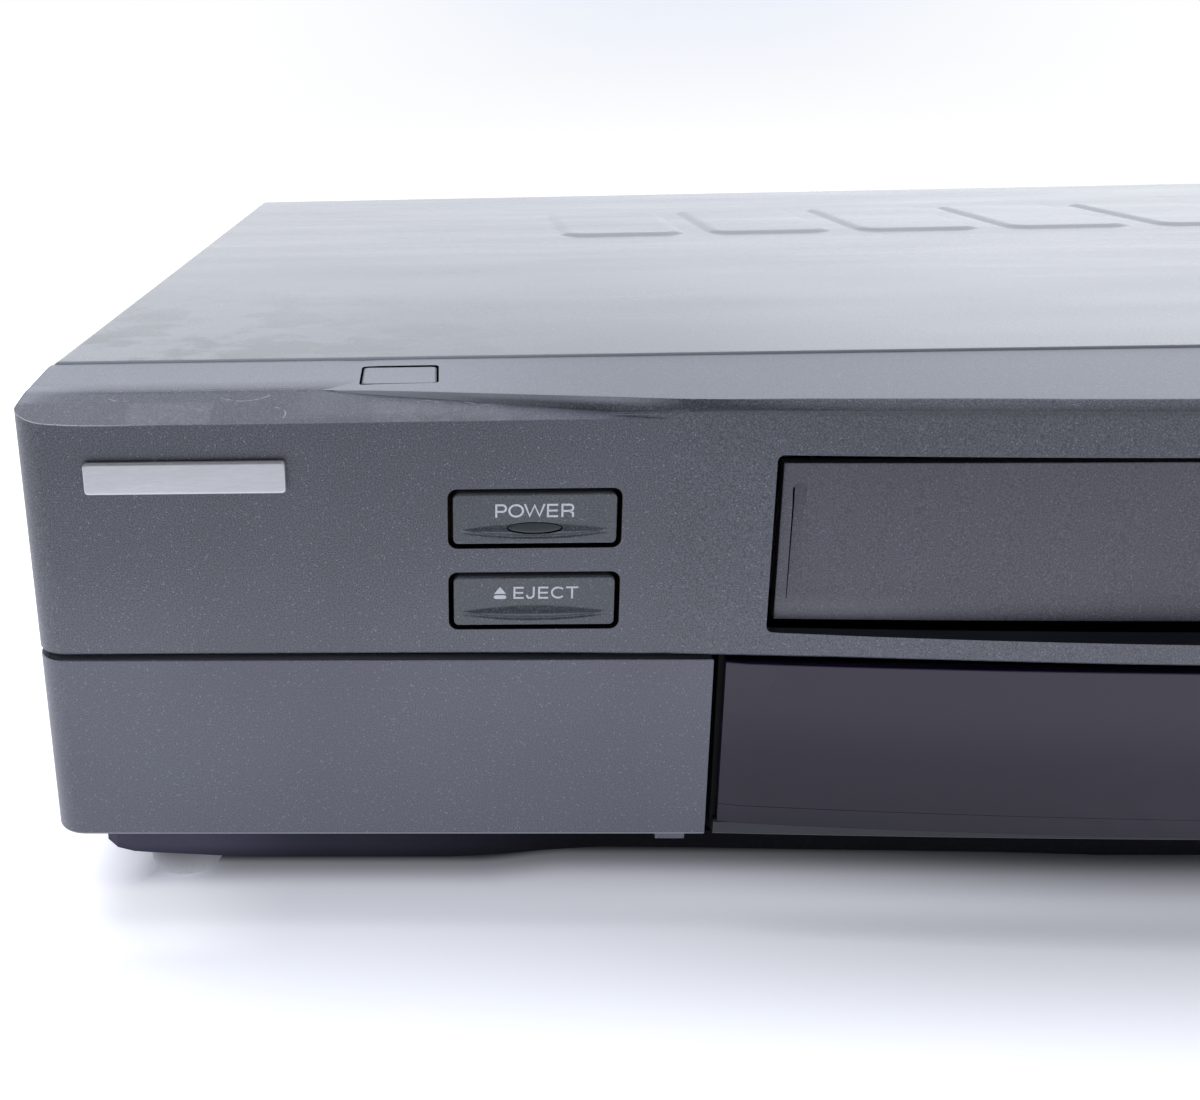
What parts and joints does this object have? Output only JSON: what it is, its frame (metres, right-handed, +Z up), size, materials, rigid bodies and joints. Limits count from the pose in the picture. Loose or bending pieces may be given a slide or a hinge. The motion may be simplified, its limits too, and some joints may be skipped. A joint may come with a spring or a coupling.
{
  "type": "video cassette recorder",
  "caption": "Front loading video cassette recorder with sprung cassette flap, push buttons, drop-down jack door, tape deck, boards, steel cover and rear sockets.",
  "frame": {"origin": "on the table under the middle of the recorder's bounding box", "axes": "+X to the recorder's right seen from the front, +Y to the rear, +Z up"},
  "size_m": [0.4332, 0.3024, 0.0926],
  "materials": {
    "dark_grey_paint": "dark grey metallic-flake paint on moulded plastic, satin",
    "cover_paint": "dark grey fine textured paint on steel",
    "black_plastic": "black moulded plastic, fine spark-eroded texture",
    "smoked_window": "polished smoked acrylic",
    "display_glass": "dark display tube and its black holder",
    "zinc_steel": "zinc plated pressed steel",
    "bright_metal": "machined, polished",
    "grey_rubber": "moulded rubber",
    "circuit_board": "brown laminate with components",
    "white_nylon": "off-white moulded nylon",
    "satin_badge": "satin silver, bevelled",
    "black_screw": "blackened steel",
    "tuner_can": "tinned sheet metal can"
  },
  "bodies": {
    "recorder": {"front_panel": "dark_grey_paint", "ledge_plug": "dark_grey_paint", "top_cover": "cover_paint", "chassis_frame": "black_plastic", "rear_panel": "black_plastic", "rear_av_jacks": "black_plastic", "mains_inlet": "black_plastic", "display_window": "smoked_window", "display_module": "display_glass", "bottom_plate": "zinc_steel", "deck_plate": "zinc_steel", "loading_motor": "zinc_steel", "holder_frame": "zinc_steel", "flap_spring": "bright_metal", "front_video_jack": "bright_metal", "front_audio_left_jack": "bright_metal", "front_audio_right_jack": "bright_metal", "antenna_input": "bright_metal", "antenna_output": "bright_metal", "lower_drum": "bright_metal", "audio_head": "bright_metal", "erase_head": "bright_metal", "foot_front_left": "grey_rubber", "foot_front_right": "grey_rubber", "foot_rear_left": "grey_rubber", "foot_rear_right": "grey_rubber", "front_switch_board": "circuit_board", "main_board": "circuit_board", "power_supply": "circuit_board", "badge_plate": "satin_badge", "screw_left_front": "black_screw", "screw_left_rear": "black_screw", "screw_right_front": "black_screw", "screw_right_rear": "black_screw", "screw_rear_left": "black_screw", "screw_rear_right": "black_screw", "tuner_module": "tuner_can"},
    "power_button": {"power_button": "dark_grey_paint", "power_lens": "smoked_window"},
    "eject_button": {"eject_button": "dark_grey_paint"},
    "play_button": {"play_button": "dark_grey_paint"},
    "stop_button": {"stop_button": "dark_grey_paint"},
    "forward_button": {"forward_button": "dark_grey_paint"},
    "rewind_button": {"rewind_button": "dark_grey_paint"},
    "record_button": {"record_button": "dark_grey_paint"},
    "pause_button": {"pause_button": "dark_grey_paint"},
    "cassette_flap": {"cassette_flap": "dark_grey_paint"},
    "jack_door": {"jack_door": "dark_grey_paint"},
    "upper_drum": {"upper_drum": "bright_metal"},
    "capstan_rotor": {"capstan_rotor": "bright_metal"},
    "pinch_lever": {"pinch_lever": "zinc_steel"},
    "pinch_roller": {"pinch_roller": "grey_rubber"},
    "supply_reel": {"supply_reel": "white_nylon"},
    "takeup_reel": {"takeup_reel": "white_nylon"},
    "idler_gear": {"idler_gear": "white_nylon"},
    "loading_cam": {"loading_cam": "white_nylon"},
    "guide_post_left": {"guide_post_left": "bright_metal"},
    "guide_post_right": {"guide_post_right": "bright_metal"},
    "cassette_carriage": {"holder_slide": "zinc_steel"},
    "cassette_holder": {"cassette_holder": "zinc_steel"}
  },
  "joints": [
    {"name": "power_press", "type": "slide", "parent": "recorder", "child": "power_button", "axis": [0, 1, 0], "range_m": [0, 0.001], "stiffness_N_per_m": 400, "springref_m": -0.0005},
    {"name": "eject_press", "type": "slide", "parent": "recorder", "child": "eject_button", "axis": [0, 1, 0], "range_m": [0, 0.001], "stiffness_N_per_m": 400, "springref_m": -0.0005},
    {"name": "play_press", "type": "slide", "parent": "recorder", "child": "play_button", "axis": [0, 1, 0], "range_m": [0, 0.001], "stiffness_N_per_m": 400, "springref_m": -0.0005},
    {"name": "stop_press", "type": "slide", "parent": "recorder", "child": "stop_button", "axis": [0, 1, 0], "range_m": [0, 0.001], "stiffness_N_per_m": 400, "springref_m": -0.0005},
    {"name": "forward_press", "type": "slide", "parent": "recorder", "child": "forward_button", "axis": [0, 1, 0], "range_m": [0, 0.001], "stiffness_N_per_m": 400, "springref_m": -0.0005},
    {"name": "rewind_press", "type": "slide", "parent": "recorder", "child": "rewind_button", "axis": [0, 1, 0], "range_m": [0, 0.001], "stiffness_N_per_m": 400, "springref_m": -0.0005},
    {"name": "record_press", "type": "slide", "parent": "recorder", "child": "record_button", "axis": [0, 1, 0], "range_m": [0, 0.001], "stiffness_N_per_m": 400, "springref_m": -0.0005},
    {"name": "pause_press", "type": "slide", "parent": "recorder", "child": "pause_button", "axis": [0, 1, 0], "range_m": [0, 0.001], "stiffness_N_per_m": 400, "springref_m": -0.0005},
    {"name": "flap_swing", "type": "hinge", "parent": "recorder", "child": "cassette_flap", "pos_m": [0, -0.1398, 0.079], "axis": [1, 0, 0], "range_deg": [0, 80], "stiffness_Nm_per_rad": 0.003, "springref_deg": -20.05},
    {"name": "jack_door_swing", "type": "hinge", "parent": "recorder", "child": "jack_door", "pos_m": [-0.1613, -0.142, 0.02], "axis": [1, 0, 0], "range_deg": [0, 90]},
    {"name": "drum_spin", "type": "hinge", "parent": "recorder", "child": "upper_drum", "pos_m": [0, 0.1, 0.0362], "axis": [0, 0.1045, 0.9945], "continuous": true},
    {"name": "capstan_spin", "type": "hinge", "parent": "recorder", "child": "capstan_rotor", "pos_m": [0.06, 0.077, 0.03], "axis": [0, 0, 1], "continuous": true},
    {"name": "loading_cam_turn", "type": "hinge", "parent": "recorder", "child": "loading_cam", "pos_m": [-0.076, 0.087, 0.0322], "axis": [0, 0, 1], "range_deg": [0, 180.1]},
    {"name": "pinch_swing", "type": "hinge", "parent": "recorder", "child": "pinch_lever", "pos_m": [0.088, 0.081, 0.034], "axis": [0, 0, -1], "range_deg": [0, 19.02]},
    {"name": "pinch_roller_spin", "type": "hinge", "parent": "pinch_lever", "child": "pinch_roller", "pos_m": [0.0705, 0.067, 0.04], "axis": [0, 0, 1], "continuous": true},
    {"name": "supply_reel_spin", "type": "hinge", "parent": "recorder", "child": "supply_reel", "pos_m": [-0.046, -0.001, 0.036], "axis": [0, 0, 1], "continuous": true},
    {"name": "takeup_reel_spin", "type": "hinge", "parent": "recorder", "child": "takeup_reel", "pos_m": [0.046, -0.001, 0.036], "axis": [0, 0, 1], "continuous": true},
    {"name": "idler_spin", "type": "hinge", "parent": "recorder", "child": "idler_gear", "pos_m": [0, 0.001, 0.0322], "axis": [0, 0, 1], "continuous": true},
    {"name": "guide_left_load", "type": "slide", "parent": "recorder", "child": "guide_post_left", "axis": [-0.1871, 0.9823, 0], "range_m": [0, 0.04276]},
    {"name": "guide_right_load", "type": "slide", "parent": "recorder", "child": "guide_post_right", "axis": [0.1871, 0.9823, 0], "range_m": [0, 0.04285]},
    {"name": "carriage_travel", "type": "slide", "parent": "recorder", "child": "cassette_carriage", "axis": [0, 1, 0], "range_m": [0, 0.065]},
    {"name": "holder_lower", "type": "slide", "parent": "cassette_carriage", "child": "cassette_holder", "axis": [0, 0, -1], "range_m": [0, 0.02]}
  ],
  "couplings": [
    {"joint": "loading_cam_turn", "follows": "guide_left_load", "rad_per_m": 73.479},
    {"joint": "guide_right_load", "follows": "guide_left_load", "ratio": 1},
    {"joint": "pinch_swing", "follows": "guide_left_load", "rad_per_m": 7.7561}
  ]
}
